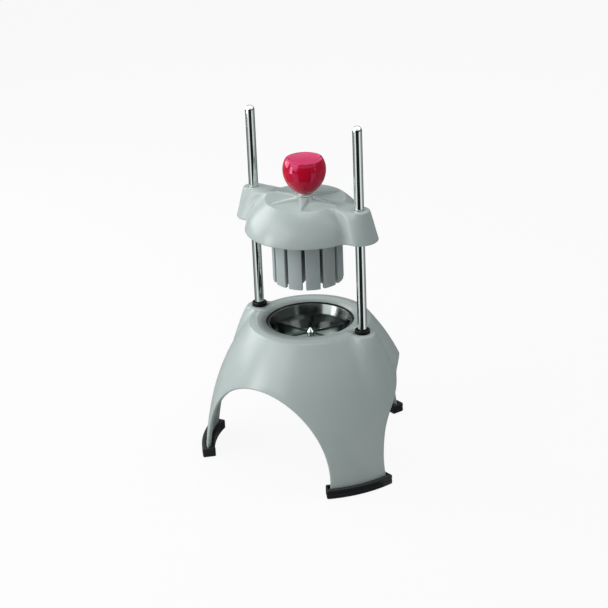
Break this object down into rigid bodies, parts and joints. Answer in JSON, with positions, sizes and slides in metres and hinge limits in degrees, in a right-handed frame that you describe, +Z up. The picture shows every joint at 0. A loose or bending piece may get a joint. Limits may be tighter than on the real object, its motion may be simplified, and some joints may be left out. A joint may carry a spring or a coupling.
{
  "type": "fruit wedger press",
  "caption": "Three-legged fruit wedger press: a red knob pushes a slotted plunger down two rods and through a lift-out ring of radial blades.",
  "frame": {"origin": "middle of the footprint's bounding box, on the counter; the press axis stands 16.4 mm in front of it", "axes": "+X along the line of the two guide rods, to the right seen from the front; -Y to the front, between the two front legs; +Z up the rods"},
  "size_m": [0.2658, 0.2395, 0.416],
  "materials": {
    "moulded_grey": "satin moulded grey",
    "black_rubber": "matt black",
    "black_plastic": "satin black",
    "rod_steel": "polished",
    "blade_steel": "fine brushed",
    "fixing_steel": "plain zinc",
    "insert_brass": "plain",
    "bush_white": "smooth bearing plastic",
    "collar_grey": "satin light grey",
    "knob_red": "high gloss crimson"
  },
  "bodies": {
    "base": {"base_housing": "moulded_grey", "front_right_foot": "black_rubber", "front_left_foot": "black_rubber", "rear_foot": "black_rubber", "guide_rod_right": "rod_steel", "guide_rod_left": "rod_steel", "rod_bumper_right": "black_rubber", "rod_bumper_left": "black_rubber", "rod_washers": "fixing_steel", "rod_nuts": "fixing_steel"},
    "blade_cartridge": {"seat_ring": "black_plastic", "blade_ring": "blade_steel", "wedge_blade_1": "blade_steel", "wedge_blade_2": "blade_steel", "wedge_blade_3": "blade_steel", "wedge_blade_4": "blade_steel", "wedge_blade_5": "blade_steel", "wedge_blade_6": "blade_steel", "blade_hub": "blade_steel", "clamp_ring": "blade_steel", "clamp_screws": "fixing_steel"},
    "press_carriage": {"press_head": "moulded_grey", "guide_bush_right": "bush_white", "guide_bush_left": "bush_white", "plunger": "moulded_grey", "plunger_screws": "fixing_steel", "knob": "knob_red", "knob_insert": "insert_brass", "knob_collar": "collar_grey", "knob_stud": "fixing_steel", "stud_washer": "fixing_steel", "stud_nut": "fixing_steel"}
  },
  "joints": [
    {"name": "head_slide", "type": "slide", "parent": "base", "child": "press_carriage", "axis": [0, 0, 1], "range_m": [-0.1105, 0.09]},
    {"name": "cartridge_lift", "type": "slide", "parent": "base", "child": "blade_cartridge", "axis": [0, 0, 1], "range_m": [0, 0.016]}
  ]
}
